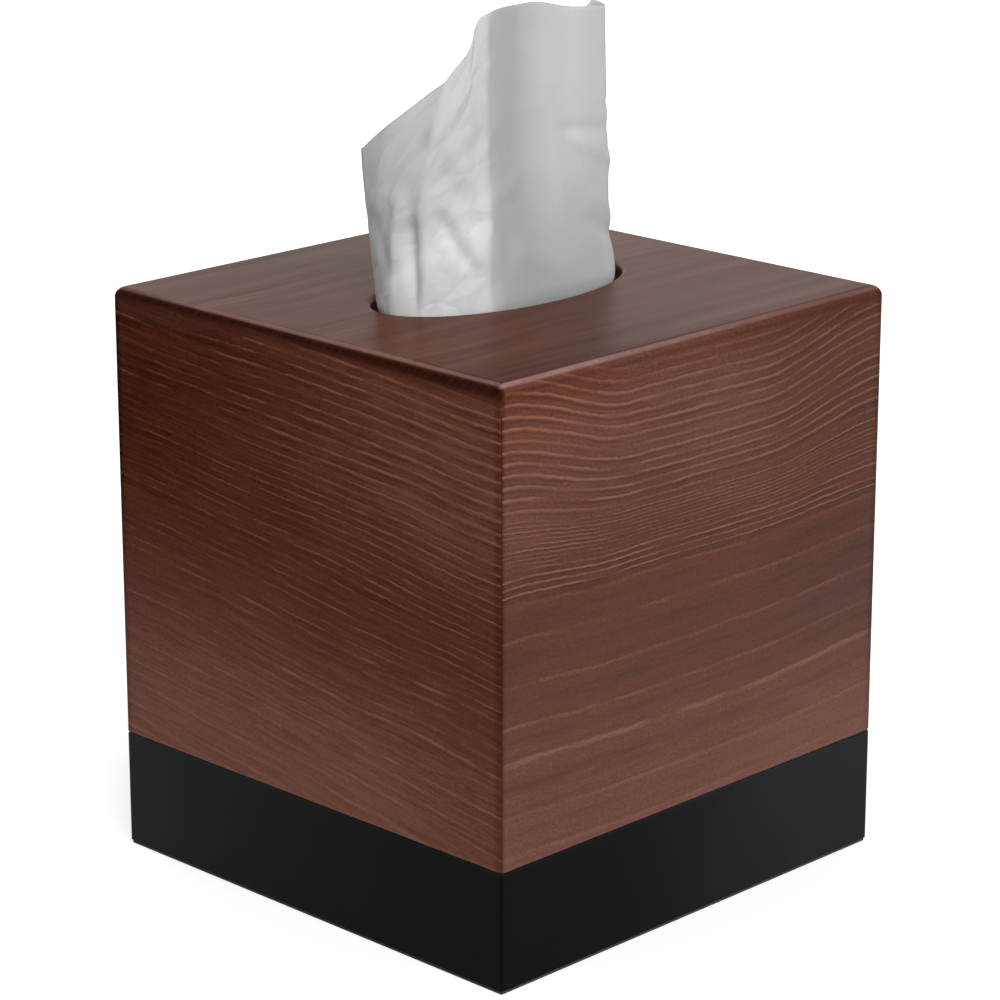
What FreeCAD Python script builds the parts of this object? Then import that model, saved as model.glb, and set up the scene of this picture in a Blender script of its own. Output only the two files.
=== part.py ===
import FreeCAD, Part
import math
import os

import Sketcher
from FreeCAD import Rotation, Vector

# A square wooden tissue box cover, standing on the table with its middle on the Z axis.
# A black base tray carries the tissue carton. A mitred brown cover drops over a lip on the
# tray and meets it at the seam between the two colours. One tissue stands up through the slot.

SIZES = [
    ("cover_width", 133, "outside width and depth"),
    ("cover_height", 146, "table to top face"),
    ("band_height", 30.2, "table to the seam between base and cover"),
    ("wall_thickness", 8, "cover walls"),
    ("top_thickness", 7, "top panel"),
    ("top_edge_round", 2.5, "rounding of the top panel's outer edge"),
    ("corner_ease", 0.8, "rounding of the upright corners"),
    ("seam_chamfer", 0.35, "broken edges along the seam"),
    ("field_depth", 2, "raised field under the top panel that centres it in the walls"),
    ("fit_gap", 0.1, "glue gap round the field, the keys, the floor and the brads"),
    ("slot_length", 77, "oval slot in the top panel, along X"),
    ("slot_width", 40, "oval slot in the top panel, along Y"),
    ("slot_ease", 1.2, "rounding of the slot's upper edge"),
    ("key_thickness", 2, "keys across the mitres"),
    ("key_width", 5, "keys across the mitres"),
    ("key_stop", 5, "end of a key short of the end of its mitre"),
    ("lip_thickness", 3, "locating lip"),
    ("lip_height", 18, "locating lip"),
    ("lip_rise", 6, "locating lip above the seam"),
    ("lip_lead", 1, "slanted lead along the lip's upper edge"),
    ("lip_clearance", 0.4, "between the lip and the cover walls"),
    ("felt_thickness", 1, "felt underlay"),
    ("felt_inset", 0.5, "edge of the felt inside the base"),
    ("floor_thickness", 4, "floor panel"),
    ("floor_rebate", 4, "how far the floor reaches under the rails"),
    ("brad_diameter", 1.2, "brads that hold the floor"),
    ("brad_length", 14, "brads, head included"),
    ("brad_head_diameter", 2.4, "brad heads"),
    ("brad_head_height", 0.8, "brad heads"),
    ("brad_spacing", 70, "between the two brads of one side"),
    ("carton_clearance", 1.1, "between the tissue carton and the lip"),
    ("carton_headroom", 7, "between the tissue carton and the top panel"),
    ("board_thickness", 0.6, "board of the carton"),
    ("mouth_end_margin", 12, "carton's top beyond each end of its oval mouth"),
    ("mouth_side_margin", 31, "carton's top beyond each side of its oval mouth"),
    ("film_thickness", 0.3, "film glued under the carton's top"),
    ("film_margin", 6, "film beyond the mouth"),
    ("slit_end_margin", 2, "mouth beyond each end of the slit in the film"),
    ("slit_width", 7, "slit in the film, held open by the tissue"),
    ("stack_clearance", 2.4, "between the folded tissues and the carton"),
    ("stack_height", 55, "folded tissues that are left"),
    ("stack_corner", 3, "rounding of the stack's upright corners"),
    ("tissue_thickness", 0.7, "the tissue with the air between its plies"),
    ("tissue_rise", 71, "top face to the tissue's highest edge"),
    ("tissue_corner_drop", 36, "how far the tissue's free corner hangs below that edge"),
    ("tissue_layer_drop", 10, "how far the tissue's layers behind stay below that edge"),
    ("tissue_seat", 0.3, "between the tissue's lower edge and the stack"),
    ("cut_overrun", 2, "cuts past the face that they open"),
]

# Places that several pieces share, as formulas over the sheet's cells.
REACH = "(sizes.cover_width / 2)"
TOP_UNDERSIDE = "(sizes.cover_height - sizes.top_thickness)"
RAIL_THICKNESS = "(sizes.wall_thickness + sizes.lip_clearance)"
LIP_REACH = f"({REACH} - {RAIL_THICKNESS})"
LIP_TOP = "(sizes.band_height + sizes.lip_rise)"
FLOOR_TOP = "(sizes.felt_thickness + sizes.floor_thickness)"
REBATE_WIDTH = f"(2 * ({LIP_REACH} + sizes.floor_rebate))"
BRAD_LINE = f"({LIP_REACH} + sizes.floor_rebate / 2)"
CARTON_WIDTH = f"(2 * ({LIP_REACH} - sizes.lip_thickness - sizes.carton_clearance))"
CARTON_TOP = f"({TOP_UNDERSIDE} - sizes.field_depth - sizes.carton_headroom)"
ROOM_WIDTH = f"({CARTON_WIDTH} - 2 * sizes.board_thickness)"
MOUTH_LENGTH = f"({CARTON_WIDTH} - 2 * sizes.mouth_end_margin)"
MOUTH_WIDTH = f"({CARTON_WIDTH} - 2 * sizes.mouth_side_margin)"
SLIT_LENGTH = f"({MOUTH_LENGTH} - 2 * sizes.slit_end_margin)"
FILM_UNDERSIDE = f"({CARTON_TOP} - sizes.board_thickness - sizes.film_thickness)"
STACK_FOOT = f"({FLOOR_TOP} + sizes.board_thickness)"

SIDE_TURNS = {"front": 0, "right": 90, "back": 180, "left": 270}
RIGHT_MITRE_TURN = -45
LEFT_MITRE_TURN = -135

doc = FreeCAD.newDocument("tissue_box_cover")
sheet = doc.addObject("Spreadsheet::Sheet", "sizes")
for row, (alias, number, meaning) in enumerate(SIZES, 1):
    sheet.set(f"A{row}", meaning)
    sheet.set(f"B{row}", str(number))
    sheet.setAlias(f"B{row}", alias)
doc.recompute()

nodes = []


def value(formula):
    return float(sheet.evalExpression(formula))


def new_body(name, turn=0):
    body = doc.addObject("PartDesign::Body", name)
    body.Label = name
    body.Placement = FreeCAD.Placement(Vector(), Rotation(Vector(0, 0, 1), turn))
    nodes.append(body)
    return body


def new_group(name, members):
    group = doc.addObject("Part::Compound", name)
    group.Label = name
    group.Links = members
    nodes.append(group)


# Sketches and features

def origin_feature(body, role):
    return next(feature for feature in body.Origin.OriginFeatures if feature.Role == role)


def new_sketch(body, name, height="0", role="XY_Plane"):
    sketch = body.newObject("Sketcher::SketchObject", f"{body.Label}_{name}")
    sketch.AttachmentSupport = [(origin_feature(body, role), "")]
    sketch.MapMode = "FlatFace"
    sketch.setExpression("AttachmentOffset.Base.z", height)
    return sketch


def hold(sketch, *constraint):
    return sketch.addConstraint(Sketcher.Constraint(*constraint))


def drive(sketch, name, formula, *constraint):
    sketch.renameConstraint(hold(sketch, *constraint, value(formula)), name)
    sketch.setExpression(f"Constraints.{name}", formula)


def join_ends(sketch, curves):
    for here, following in zip(curves, curves[1:] + curves[:1]):
        hold(sketch, "Coincident", here, 2, following, 1)


def polygon(sketch, points):
    ends = points[1:] + points[:1]
    lines = [sketch.addGeometry(Part.LineSegment(a, b)) for a, b in zip(points, ends)]
    join_ends(sketch, lines)
    return lines


def rectangle(sketch, width, depth):
    x, y = value(width) / 2, value(depth) / 2
    lines = polygon(sketch, [Vector(-x, -y), Vector(x, -y), Vector(x, y), Vector(-x, y)])
    for line, direction in zip(lines, ("Horizontal", "Vertical") * 2):
        hold(sketch, direction, line)
    hold(sketch, "Symmetric", lines[0], 1, lines[2], 1, -1, 1)
    drive(sketch, "width", width, "DistanceX", lines[0], 1, lines[0], 2)
    drive(sketch, "depth", depth, "DistanceY", lines[1], 1, lines[1], 2)


def oval(sketch, length, width):
    ends = Vector(value(length) / 2, 0), Vector(0, value(width) / 2)
    curve = sketch.addGeometry(Part.Ellipse(*ends, Vector()))
    sketch.exposeInternalGeometry(curve)
    long_axis, short_axis = curve + 1, curve + 2
    hold(sketch, "Coincident", curve, 3, -1, 1)
    hold(sketch, "Horizontal", long_axis)
    drive(sketch, "length", length, "Distance", long_axis)
    drive(sketch, "width", width, "Distance", short_axis)


def lens(sketch, length, width):
    end, bulge = Vector(value(length) / 2, 0), Vector(0, value(width) / 2)
    lower = sketch.addGeometry(Part.Arc(-end, -bulge, end))
    upper = sketch.addGeometry(Part.Arc(end, bulge, -end))
    join_ends(sketch, [lower, upper])
    hold(sketch, "Symmetric", lower, 1, lower, 2, -1, 1)
    hold(sketch, "PointOnObject", lower, 1, -1)
    hold(sketch, "Equal", lower, upper)
    drive(sketch, "length", length, "DistanceX", lower, 1, lower, 2)
    drive(sketch, "radius", f"({length} ^ 2 + {width} ^ 2) / (4 * {width})", "Radius", lower)


def brad_circles(sketch, diameter):
    """One circle at each brad of the side that faces -Y."""
    for name, x in (("left", "(-sizes.brad_spacing / 2)"), ("right", "(sizes.brad_spacing / 2)")):
        y = f"(-{BRAD_LINE})"
        place = Vector(value(x), value(y))
        curve = sketch.addGeometry(Part.Circle(place, Vector(0, 0, 1), value(diameter) / 2))
        drive(sketch, f"{name}_x", x, "DistanceX", -1, 1, curve, 3)
        drive(sketch, f"{name}_y", y, "DistanceY", -1, 1, curve, 3)
        drive(sketch, f"{name}_diameter", diameter, "Diameter", curve)


def pad(sketch, length, downward=False, side_type="One side"):
    body = sketch.getParentGeoFeatureGroup()
    feature = body.newObject("PartDesign::Pad", f"{sketch.Name}_pad")
    feature.Profile = sketch
    feature.SideType = side_type
    feature.Reversed = downward
    feature.setExpression("Length", length)
    doc.recompute()


def pocket(sketch, depth, upward=True):
    body = sketch.getParentGeoFeatureGroup()
    before = body.Shape.Volume
    feature = body.newObject("PartDesign::Pocket", f"{sketch.Name}_pocket")
    feature.Profile = sketch
    feature.Reversed = upward
    feature.setExpression("Length", depth)
    doc.recompute()
    if body.Shape.Volume >= before:
        raise RuntimeError(f"{feature.Name} cuts nothing")
    return feature


def dress(body, kind, name, size, formula, chosen):
    """Rounds or chamfers the edges of the body's tip that chosen picks."""
    base = body.Tip
    edges = [f"Edge{i}" for i, edge in enumerate(base.Shape.Edges, 1) if chosen(edge)]
    feature = body.newObject(f"PartDesign::{kind}", f"{body.Label}_{name}")
    feature.Base = (base, edges)
    feature.setExpression(size, formula)
    doc.recompute()


def lies_at(edge, height):
    box, near = edge.BoundBox, value("sizes.fit_gap")
    return max(abs(box.ZMin - height), abs(box.ZMax - height)) < near


def stands(edge):
    box, near = edge.BoundBox, value("sizes.fit_gap")
    return box.ZLength > near > max(box.XLength, box.YLength)


# Mitred boards and the keys across their mitres

def key_span(bottom, top):
    return f"({bottom} + sizes.key_stop)", f"({top} - {bottom} - 2 * sizes.key_stop)"


def set_key(box, turn, thickness, bottom, top, gap):
    """Sets a box across the mitre that points along turn, between boards of this thickness."""
    foot, height = key_span(bottom, top)
    across, along = f"(sizes.key_thickness + {gap})", f"(sizes.key_width + {gap})"
    inner = f"(sqrt(2) * ({REACH} - {thickness} / 2) - {across} / 2)"
    box.setExpression("Length", across)
    box.setExpression("Width", along)
    box.setExpression("Height", f"{height} + {gap}")
    box.setExpression("Placement.Base.x", f"{inner} * cos({turn}) + {along} / 2 * sin({turn})")
    box.setExpression("Placement.Base.y", f"{inner} * sin({turn}) - {along} / 2 * cos({turn})")
    box.setExpression("Placement.Base.z", f"{foot} - {gap} / 2")
    box.setExpression("Placement.Rotation.Angle", str(turn))


def mitred_keys(name, thickness, bottom, top):
    keys = []
    for side, turn in SIDE_TURNS.items():
        key = doc.addObject("Part::Box", f"{name}_{side}")
        set_key(key, RIGHT_MITRE_TURN + turn, thickness, bottom, top, "0")
        keys.append(key)
    new_group(name, keys)


def mitred_board(name, turn, thickness, bottom, top):
    """An upright board with a mitre at each end and half of each eased corner, keyed."""
    body = new_body(name, turn)
    plan = new_sketch(body, "plan", bottom)
    outer, ease = value(REACH), value("sizes.corner_ease")
    inner, flat = outer - value(thickness), outer - ease
    eased = Vector(flat, -flat)
    start, end = eased + Vector(0, -ease), eased + Vector(ease, -ease) / math.sqrt(2)
    halfway = eased + ((start - eased) + (end - eased)).normalize() * ease

    def mirrored(point):
        return Vector(-point.x, point.y)

    corner = Vector(inner, -inner)
    face = plan.addGeometry(Part.LineSegment(mirrored(start), start))
    right_ease = plan.addGeometry(Part.Arc(start, halfway, end))
    right_mitre = plan.addGeometry(Part.LineSegment(end, corner))
    inside = plan.addGeometry(Part.LineSegment(corner, mirrored(corner)))
    left_mitre = plan.addGeometry(Part.LineSegment(mirrored(corner), mirrored(end)))
    left_ease = plan.addGeometry(Part.Arc(mirrored(end), mirrored(halfway), mirrored(start)))
    for here, following in ((right_ease, right_mitre), (right_mitre, inside),
                            (inside, left_mitre), (left_mitre, left_ease)):
        hold(plan, "Coincident", here, 2, following, 1)
    hold(plan, "Tangent", face, 2, right_ease, 1)
    hold(plan, "Tangent", left_ease, 2, face, 1)
    hold(plan, "Horizontal", face)
    hold(plan, "Symmetric", inside, 1, inside, 2, -2)
    for mitre, curve in ((right_mitre, right_ease), (left_mitre, left_ease)):
        hold(plan, "PointOnObject", -1, 1, mitre)
        hold(plan, "PointOnObject", curve, 3, mitre)
    hold(plan, "Equal", right_ease, left_ease)
    drive(plan, "ease", "sizes.corner_ease", "Radius", right_ease)
    drive(plan, "face_reach", REACH, "DistanceY", face, 1, -1, 1)
    drive(plan, "inside_reach", f"{REACH} - {thickness}", "DistanceY", inside, 1, -1, 1)
    drive(plan, "inside_width", f"2 * ({REACH} - {thickness})", "DistanceX", inside, 2, inside, 1)
    pad(plan, f"{top} - {bottom}")
    for side, mitre_turn in (("right", RIGHT_MITRE_TURN), ("left", LEFT_MITRE_TURN)):
        groove = body.newObject("PartDesign::SubtractiveBox", f"{name}_{side}_key_groove")
        set_key(groove, mitre_turn, thickness, bottom, top, "sizes.fit_gap")
        doc.recompute()
    return body


def break_seam(body):
    """Chamfers the board's outer edge along the seam."""
    seam = value("sizes.band_height")
    # Edges are measured in the body's own frame, where its outer face looks along -Y.
    outermost = -value(f"{REACH} - sizes.corner_ease")

    def chosen(edge):
        return lies_at(edge, seam) and edge.CenterOfMass.y < outermost

    dress(body, "Chamfer", "seam", "Size", "sizes.seam_chamfer", chosen)


# Base tray

def base_rail(side, turn):
    body = mitred_board(f"base_{side}_rail", turn, RAIL_THICKNESS, "sizes.felt_thickness",
                        "sizes.band_height")
    rebate = new_sketch(body, "rebate", "sizes.felt_thickness")
    rectangle(rebate, REBATE_WIDTH, REBATE_WIDTH)
    pocket(rebate, "sizes.floor_thickness")
    holes = new_sketch(body, "brad_holes", FLOOR_TOP)
    brad_circles(holes, "(sizes.brad_diameter + sizes.fit_gap)")
    pocket(holes, "sizes.brad_length - sizes.floor_thickness + sizes.fit_gap")
    break_seam(body)


def base_floor():
    body = new_body("base_floor")
    width = f"({REBATE_WIDTH} - 2 * sizes.fit_gap)"
    plan = new_sketch(body, "plan", "sizes.felt_thickness")
    rectangle(plan, width, width)
    pad(plan, "sizes.floor_thickness")
    shanks = new_sketch(body, "brad_holes", "sizes.felt_thickness")
    brad_circles(shanks, "(sizes.brad_diameter + sizes.fit_gap)")
    heads = new_sketch(body, "brad_heads", "sizes.felt_thickness")
    brad_circles(heads, "(sizes.brad_head_diameter + sizes.fit_gap)")
    drilled = [pocket(shanks, "sizes.floor_thickness"), pocket(heads, "sizes.brad_head_height")]
    pattern = body.newObject("PartDesign::PolarPattern", "base_floor_all_sides")
    pattern.Originals = drilled
    pattern.Axis = (origin_feature(body, "Z_Axis"), [""])
    pattern.Occurrences = len(SIDE_TURNS)
    body.Tip = pattern
    doc.recompute()


def floor_brads():
    brads = []
    for side, turn in SIDE_TURNS.items():
        for end, sign in (("left", "-1"), ("right", "1")):
            x, y = f"({sign} * sizes.brad_spacing / 2)", f"(-{BRAD_LINE})"
            shank = doc.addObject("Part::Cylinder", f"brad_{side}_{end}_shank")
            shank.setExpression("Radius", "sizes.brad_diameter / 2")
            shank.setExpression("Height", "sizes.brad_length")
            head = doc.addObject("Part::Cylinder", f"brad_{side}_{end}_head")
            head.setExpression("Radius", "sizes.brad_head_diameter / 2")
            head.setExpression("Height", "sizes.brad_head_height")
            brad = doc.addObject("Part::Fuse", f"brad_{side}_{end}")
            brad.Base, brad.Tool = shank, head
            brad.setExpression("Placement.Base.x", f"{x} * cos({turn}) - {y} * sin({turn})")
            brad.setExpression("Placement.Base.y", f"{x} * sin({turn}) + {y} * cos({turn})")
            brad.setExpression("Placement.Base.z", "sizes.felt_thickness")
            brads.append(brad)
    new_group("floor_brads", brads)


def locating_lip(side, turn, length):
    """A strip glued inside a rail, with a slanted lead that guides the cover's wall over it."""
    body = new_body(f"locating_lip_{side}", turn)
    profile = new_sketch(body, "profile", role="YZ_Plane")
    outer, top = -value(LIP_REACH), value(LIP_TOP)
    lead = value("sizes.lip_lead")
    inner, foot = outer + value("sizes.lip_thickness"), top - value("sizes.lip_height")
    lines = polygon(profile, [Vector(outer, foot), Vector(inner, foot), Vector(inner, top),
                              Vector(outer + lead, top), Vector(outer, top - lead)])
    under, inside, upper, slant, outside = lines
    for line, direction in ((under, "Horizontal"), (upper, "Horizontal"),
                            (inside, "Vertical"), (outside, "Vertical")):
        hold(profile, direction, line)
    drive(profile, "reach", LIP_REACH, "DistanceX", under, 1, -1, 1)
    drive(profile, "thickness", "sizes.lip_thickness", "DistanceX", under, 1, under, 2)
    drive(profile, "top", LIP_TOP, "DistanceY", -1, 1, upper, 1)
    drive(profile, "height", "sizes.lip_height", "DistanceY", inside, 1, inside, 2)
    drive(profile, "lead_depth", "sizes.lip_lead", "DistanceY", slant, 2, slant, 1)
    drive(profile, "lead_width", "sizes.lip_lead", "DistanceX", slant, 2, slant, 1)
    pad(profile, length, side_type="Symmetric")


def felt_underlay():
    body = new_body("felt_underlay")
    plan = new_sketch(body, "plan")
    width = "(sizes.cover_width - 2 * sizes.felt_inset)"
    rectangle(plan, width, width)
    pad(plan, "sizes.felt_thickness")


# Cover

def cover_wall(side, turn):
    body = mitred_board(f"{side}_wall", turn, "sizes.wall_thickness", "sizes.band_height",
                        TOP_UNDERSIDE)
    break_seam(body)


def top_panel():
    body = new_body("top_panel")
    plan = new_sketch(body, "plan", TOP_UNDERSIDE)
    rectangle(plan, "sizes.cover_width", "sizes.cover_width")
    pad(plan, "sizes.top_thickness")
    dress(body, "Fillet", "corners", "Radius", "sizes.corner_ease", stands)
    top = value("sizes.cover_height")
    dress(body, "Fillet", "edge", "Radius", "sizes.top_edge_round", lambda edge: lies_at(edge, top))
    field = new_sketch(body, "field", TOP_UNDERSIDE)
    width = "(sizes.cover_width - 2 * sizes.wall_thickness - 2 * sizes.fit_gap)"
    rectangle(field, width, width)
    pad(field, "sizes.field_depth", downward=True)
    slot = new_sketch(body, "slot", "sizes.cover_height")
    oval(slot, "sizes.slot_length", "sizes.slot_width")
    pocket(slot, "sizes.top_thickness + sizes.field_depth + sizes.cut_overrun", upward=False)
    slot_reach = value("sizes.slot_length / 2 + sizes.fit_gap")

    def on_slot(edge):
        return lies_at(edge, top) and edge.BoundBox.XMax < slot_reach

    dress(body, "Fillet", "slot_edge", "Radius", "sizes.slot_ease", on_slot)


# Tissue carton and what is in it

def tissue_carton():
    body = new_body("tissue_carton")
    outside = new_sketch(body, "outside", FLOOR_TOP)
    rectangle(outside, CARTON_WIDTH, CARTON_WIDTH)
    pad(outside, f"{CARTON_TOP} - {FLOOR_TOP}")
    room = new_sketch(body, "room", STACK_FOOT)
    rectangle(room, ROOM_WIDTH, ROOM_WIDTH)
    pocket(room, f"{CARTON_TOP} - {STACK_FOOT} - sizes.board_thickness")
    mouth = new_sketch(body, "mouth", CARTON_TOP)
    oval(mouth, MOUTH_LENGTH, MOUTH_WIDTH)
    pocket(mouth, "sizes.board_thickness + sizes.cut_overrun", upward=False)


def carton_film():
    body = new_body("carton_film")
    plan = new_sketch(body, "plan", FILM_UNDERSIDE)
    rectangle(plan, f"({MOUTH_LENGTH} + 2 * sizes.film_margin)",
              f"({MOUTH_WIDTH} + 2 * sizes.film_margin)")
    pad(plan, "sizes.film_thickness")
    slit = new_sketch(body, "slit", FILM_UNDERSIDE)
    lens(slit, SLIT_LENGTH, "sizes.slit_width")
    pocket(slit, "sizes.film_thickness")


def tissue_stack():
    body = new_body("tissue_stack")
    plan = new_sketch(body, "plan", STACK_FOOT)
    width = f"({ROOM_WIDTH} - 2 * sizes.stack_clearance)"
    rectangle(plan, width, width)
    pad(plan, "sizes.stack_height")
    dress(body, "Fillet", "corners", "Radius", "sizes.stack_corner", stands)


# The tissue's plan at several heights is one bent strip of eight arcs. Two layers lie behind the
# front: the strip runs along the rear one to the left, back along the other, and turns at the
# right into the front. That has a trough, a ridge and a crease, and ends in a leg that turns back
# to the free left edge. Each row gives the ends of the arcs with their middles between them, as
# shares of half the length and half the width of the slit, for the tail, or of the slot, above it.
TAIL_PLAN_SHARES = ((0.66, 0.36), (0.10, 0.24), (-0.44, 0.10), (-0.451, -0.05), (-0.44, -0.20),
                    (0.10, -0.22), (0.78, 0.11), (0.79, -0.02), (0.78, -0.15), (0.45, -0.52),
                    (0.05, -0.68), (-0.08, -0.68), (-0.20, -0.66), (-0.52, -0.46), (-0.82, 0.0),
                    (-0.64, 0.36), (-0.40, 0.58))
RISE_SHARES = (0.0, 0.28, 0.52, 0.76, 1.0)
FRONT_PLAN_SHARES = (
    ((0.90, -0.33), (0.55, -0.75), (0.10, -0.91), (-0.08, -0.915), (-0.25, -0.89),
     (-0.66, -0.60), (-0.92, -0.12), (-0.93, 0.14), (-0.85, 0.38)),
    ((0.86, -0.34), (0.50, -0.77), (0.08, -0.77), (-0.08, -0.82), (-0.25, -0.86),
     (-0.63, -0.66), (-0.90, -0.26), (-0.93, 0.10), (-0.86, 0.40)),
    ((0.83, -0.34), (0.47, -0.75), (0.05, -0.66), (-0.09, -0.75), (-0.25, -0.83),
     (-0.58, -0.70), (-0.86, -0.38), (-0.92, 0.06), (-0.86, 0.41)),
    ((0.80, -0.33), (0.46, -0.74), (0.05, -0.60), (-0.09, -0.71), (-0.25, -0.81),
     (-0.53, -0.74), (-0.77, -0.52), (-0.89, -0.02), (-0.85, 0.40)),
    ((0.77, -0.33), (0.45, -0.73), (0.05, -0.57), (-0.09, -0.68), (-0.25, -0.79),
     (-0.47, -0.76), (-0.66, -0.62), (-0.84, -0.10), (-0.84, 0.36)),
)
# The layers behind, at the slot and at the top, up to the turn at the right.
LAYER_PLAN_SHARES = (
    ((0.66, 0.14), (0.10, 0.14), (-0.50, 0.06), (-0.585, -0.15), (-0.50, -0.36),
     (0.10, -0.50), (0.72, -0.12), (0.87, -0.13)),
    ((0.58, 0.20), (0.10, 0.22), (-0.42, 0.12), (-0.50, -0.06), (-0.42, -0.26),
     (0.08, -0.36), (0.60, -0.12), (0.745, -0.15)),
)
LAYER_EDGE_SHARE = -0.31
CORNER_START_SHARE = 0.0
CORNER_END_SHARE = -0.78


def strip_outline(plan, height, thickness):
    """The closed outline of a strip of even thickness along arcs: end, middle, end, middle, end."""
    points = [Vector(x, y, height) for x, y in plan]
    runs = [(after - before).normalize() for before, after in zip(points, points[1:])]
    outwards = [Vector(-run.y, run.x, 0) for run in runs]
    outer, inner = [], []
    for point, first, second in zip(points, outwards[:1] + outwards, outwards + outwards[-1:]):
        outward = (first + second).normalize()
        reach = thickness / 2 / outward.dot(first)
        outer.append(point + outward * min(reach, thickness))
        inner.append(point - outward * reach)
    inner.reverse()
    edges = []
    for side, following in ((outer, inner), (inner, outer)):
        edges += [Part.Arc(*side[i:i + 3]) for i in range(0, len(side) - 1, 2)]
        edges.append(Part.LineSegment(side[-1], following[0]))
    return Part.Wire([edge.toShape() for edge in edges])


def pop_up_tissue():
    half_slit = value(SLIT_LENGTH) / 2, value("sizes.slit_width") / 2
    half_slot = value("sizes.slot_length") / 2, value("sizes.slot_width") / 2
    thickness, top = value("sizes.tissue_thickness"), value("sizes.cover_height")
    foot = value(f"{STACK_FOOT} + sizes.stack_height + sizes.tissue_seat")
    rise = value("sizes.tissue_rise")

    def section(shares, half, height):
        plan = [(x * half[0], y * half[1]) for x, y in shares]
        return strip_outline(plan, height, thickness)

    tail_heights = foot, value(FILM_UNDERSIDE)
    sections = [section(TAIL_PLAN_SHARES, half_slit, height) for height in tail_heights]
    for front, share in zip(FRONT_PLAN_SHARES, RISE_SHARES):
        layers = [(x + share * (top_x - x), y + share * (top_y - y))
                  for (x, y), (top_x, top_y) in zip(*LAYER_PLAN_SHARES)]
        sections.append(section((*layers, *front), half_slot, top + share * rise))
    sheet_solid = Part.makeLoft(sections, True, True)
    # The free corner is trimmed along a slope that runs diagonally across the box.
    overrun, drop = value("sizes.cut_overrun"), value("sizes.tissue_corner_drop")
    start, end = CORNER_START_SHARE * half_slot[0], CORNER_END_SHARE * half_slot[0]
    crest = top + rise + overrun
    slope = drop / (start - end)
    outer = 2 * end
    outline = [Vector(start + overrun / slope, 0, crest), Vector(outer, 0, crest),
               Vector(outer, 0, top + rise - slope * (start - outer))]
    wedge = Part.Face(Part.makePolygon(outline + outline[:1]))
    depth = value("sizes.cover_width")
    wedge.translate(Vector(0, -depth, 0))
    wedge = wedge.extrude(Vector(0, 2 * depth, 0))
    wedge.rotate(Vector(), Vector(0, 0, 1), RIGHT_MITRE_TURN)
    # The layers behind the front don't reach as high as it does.
    layer_top = top + rise - value("sizes.tissue_layer_drop")
    layer_edge = LAYER_EDGE_SHARE * half_slot[1]
    behind = Part.makeBox(2 * depth, depth, rise, Vector(-depth, layer_edge, layer_top))
    tissue = doc.addObject("Part::Feature", "pop_up_tissue")
    tissue.Label = "pop_up_tissue"
    tissue.Shape = sheet_solid.cut([wedge, behind])
    tissue.Placement = FreeCAD.Placement()
    nodes.append(tissue)


def build():
    for side, turn in SIDE_TURNS.items():
        base_rail(side, turn)
    mitred_keys("base_corner_keys", RAIL_THICKNESS, "sizes.felt_thickness", "sizes.band_height")
    base_floor()
    floor_brads()
    full, between = f"2 * {LIP_REACH}", f"2 * ({LIP_REACH} - sizes.lip_thickness)"
    for side, turn in SIDE_TURNS.items():
        locating_lip(side, turn, full if side in ("front", "back") else between)
    felt_underlay()
    for side, turn in SIDE_TURNS.items():
        cover_wall(side, turn)
    mitred_keys("corner_keys", "sizes.wall_thickness", "sizes.band_height", TOP_UNDERSIDE)
    top_panel()
    tissue_carton()
    carton_film()
    tissue_stack()
    pop_up_tissue()
    doc.recompute()


def check_and_write():
    failed = [thing.Name for thing in doc.Objects
              if "Invalid" in thing.State or "Error" in thing.State]
    for node in nodes:
        if node.Shape.isNull() or not node.Shape.isValid() or not node.Shape.Solids:
            failed.append(node.Label)
    if failed:
        raise RuntimeError(f"not built: {failed}")
    os.makedirs("parts", exist_ok=True)
    for node in nodes:
        node.Shape.exportStep(f"parts/{node.Label}.step")
        print(f"{node.Label}: {len(node.Shape.Solids)} solids, {node.Shape.Volume:.1f} mm3")


build()
check_and_write()
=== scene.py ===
import math

import bpy
import numpy as np
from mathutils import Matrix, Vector


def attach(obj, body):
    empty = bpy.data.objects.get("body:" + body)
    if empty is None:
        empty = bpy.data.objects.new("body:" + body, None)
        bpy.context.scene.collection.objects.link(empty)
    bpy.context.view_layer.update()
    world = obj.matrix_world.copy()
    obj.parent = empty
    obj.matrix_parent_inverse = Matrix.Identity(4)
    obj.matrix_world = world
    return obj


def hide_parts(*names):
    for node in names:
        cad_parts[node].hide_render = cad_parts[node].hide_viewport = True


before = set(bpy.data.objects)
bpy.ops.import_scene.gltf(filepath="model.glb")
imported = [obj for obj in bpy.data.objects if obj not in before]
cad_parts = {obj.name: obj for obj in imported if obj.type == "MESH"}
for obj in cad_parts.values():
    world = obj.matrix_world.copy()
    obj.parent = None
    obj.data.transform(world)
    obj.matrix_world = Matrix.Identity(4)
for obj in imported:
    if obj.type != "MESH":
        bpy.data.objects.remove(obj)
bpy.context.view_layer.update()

# Sizes in millimetres, as the solids have them. Blender's own unit is the metre.
MM = 0.001
PER_METRE = 1000
HALF_WIDTH = 66.5
WIDTH = 2 * HALF_WIDTH
TOP = 146
BAND = 30.2
FILM = 129.1
STACK_TOP = 60.6
STACK_FOOT = 5.6
STACK_WIDTH = 102
HALF_SLOT = (38.5, 20)
HALF_SLIT = (40, 3.5)


# Finishes, made of shader nodes

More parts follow.
